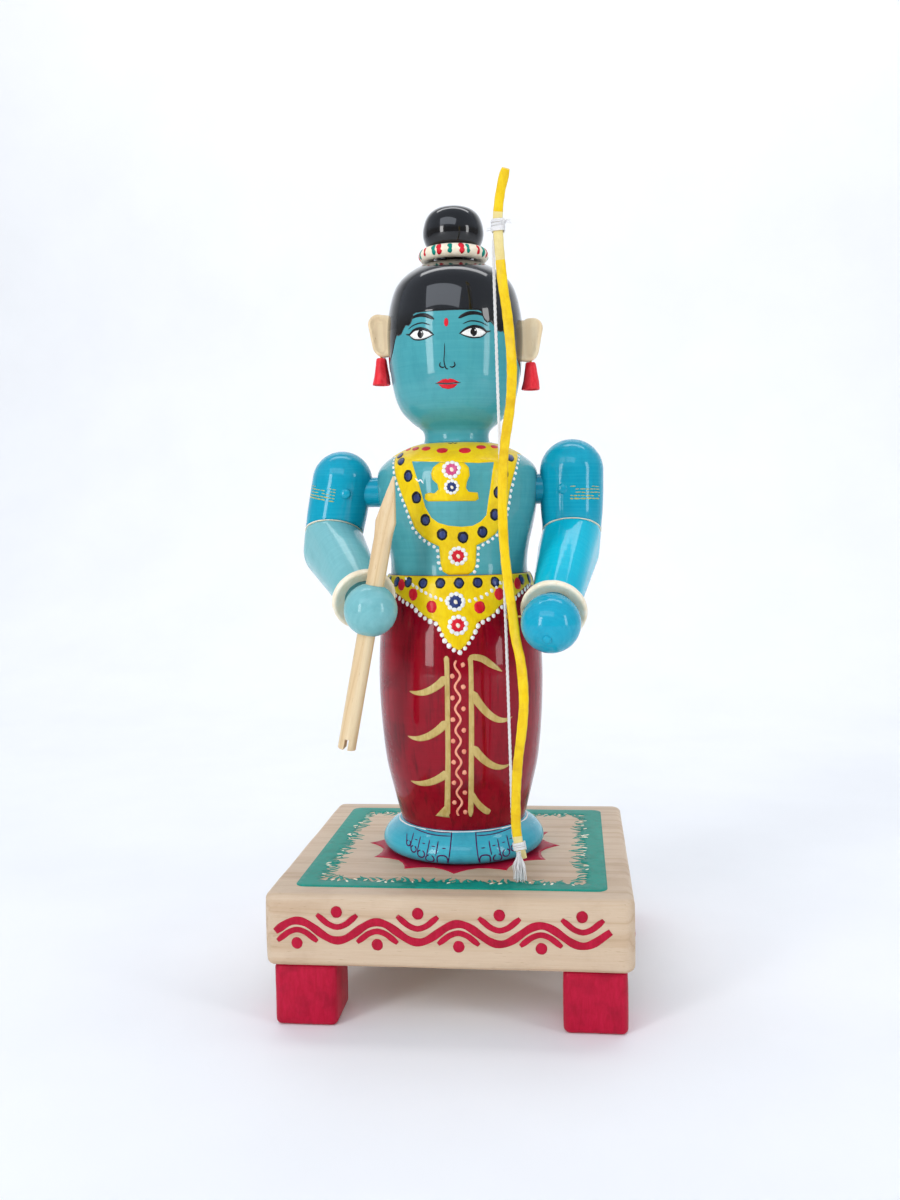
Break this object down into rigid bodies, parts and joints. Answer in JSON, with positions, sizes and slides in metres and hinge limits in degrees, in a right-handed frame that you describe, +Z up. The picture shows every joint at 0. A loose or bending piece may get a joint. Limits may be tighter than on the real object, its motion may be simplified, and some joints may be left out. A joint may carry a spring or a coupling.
{
  "type": "turned wooden archer doll",
  "caption": "Lacquered turned-wood archer doll on a square stool, with a head that turns, arms that swing, an arrow that slides in one hand and a strung bow hung from the other.",
  "frame": {"origin": "on the floor under the figure's axis, at the middle of the stool", "axes": "+Z up, the figure looks along -Y, its left hand with the bow is on the +X side"},
  "size_m": [0.1324, 0.1324, 0.3065],
  "materials": {
    "bare_wood": "fine pale wood, sanded and waxed",
    "crimson_paint": "crimson paint on wood",
    "steel": "zinc plated",
    "brass": "bright wire",
    "blue_lacquer": "glossy lacquer, sky blue",
    "pale_teal_lacquer": "glossy lacquer, pale teal",
    "cyan_lacquer": "glossy lacquer, bright cyan",
    "maroon_lacquer": "glossy lacquer, maroon",
    "black_lacquer": "glossy lacquer, black",
    "yellow_paint": "yellow paint on bamboo",
    "gold_paint": "gold poster paint under lacquer",
    "green_paint": "green poster paint",
    "cream_paint": "cream lacquer on turned wood",
    "white_thread": "cotton thread"
  },
  "bodies": {
    "base": {"plinth_slab": "bare_wood", "leg_front_right": "crimson_paint", "leg_front_left": "crimson_paint", "leg_back_right": "crimson_paint", "leg_back_left": "crimson_paint", "leg_screws": "steel", "base_screw": "steel", "foot_base": "blue_lacquer", "dhoti": "maroon_lacquer", "torso": "blue_lacquer", "spine_dowel": "bare_wood"},
    "head": {"head": "blue_lacquer", "neck_dowel": "bare_wood", "hair_ring": "white_thread", "topknot": "black_lacquer", "topknot_dowel": "bare_wood", "right_ear": "bare_wood", "left_ear": "bare_wood", "right_earring": "crimson_paint", "left_earring": "crimson_paint", "earring_pins": "brass"},
    "right_arm": {"right_shoulder_dowel": "blue_lacquer", "right_upper_arm": "cyan_lacquer", "right_arm_brad": "cyan_lacquer", "right_elbow_dowel": "bare_wood", "right_forearm": "pale_teal_lacquer", "right_bangle": "cream_paint", "right_hand": "pale_teal_lacquer"},
    "left_arm": {"left_shoulder_dowel": "blue_lacquer", "left_upper_arm": "cyan_lacquer", "left_arm_brad": "cyan_lacquer", "left_elbow_dowel": "bare_wood", "left_forearm": "cyan_lacquer", "left_bangle": "cream_paint", "left_hand": "cyan_lacquer", "bow_brad": "brass"},
    "arrow": {"arrow": "bare_wood"},
    "bow": {"bow": "yellow_paint", "bowstring": "white_thread", "top_lashing": "white_thread", "bottom_lashing": "white_thread", "thread_tuft": "white_thread"}
  },
  "joints": [
    {"name": "head_turn", "type": "hinge", "parent": "base", "child": "head", "pos_m": [0, 0, 0.2131], "axis": [0, 0, 1], "continuous": true},
    {"name": "right_shoulder", "type": "hinge", "parent": "base", "child": "right_arm", "pos_m": [0, 0, 0.1945], "axis": [-1, 0, 0], "range_deg": [-8, 30]},
    {"name": "left_shoulder", "type": "hinge", "parent": "base", "child": "left_arm", "pos_m": [0, 0, 0.1945], "axis": [-1, 0, 0], "range_deg": [0, 45]},
    {"name": "arrow_slide", "type": "slide", "parent": "right_arm", "child": "arrow", "axis": [0.194, 0, 0.981], "range_m": [-0.014, 0.012]},
    {"name": "bow_swivel", "type": "hinge", "parent": "left_arm", "child": "bow", "pos_m": [0.024, -0.045, 0.147], "axis": [-1, 0, 0], "range_deg": [-45, 0]}
  ],
  "couplings": [
    {"joint": "bow_swivel", "follows": "left_shoulder", "ratio": -1}
  ]
}
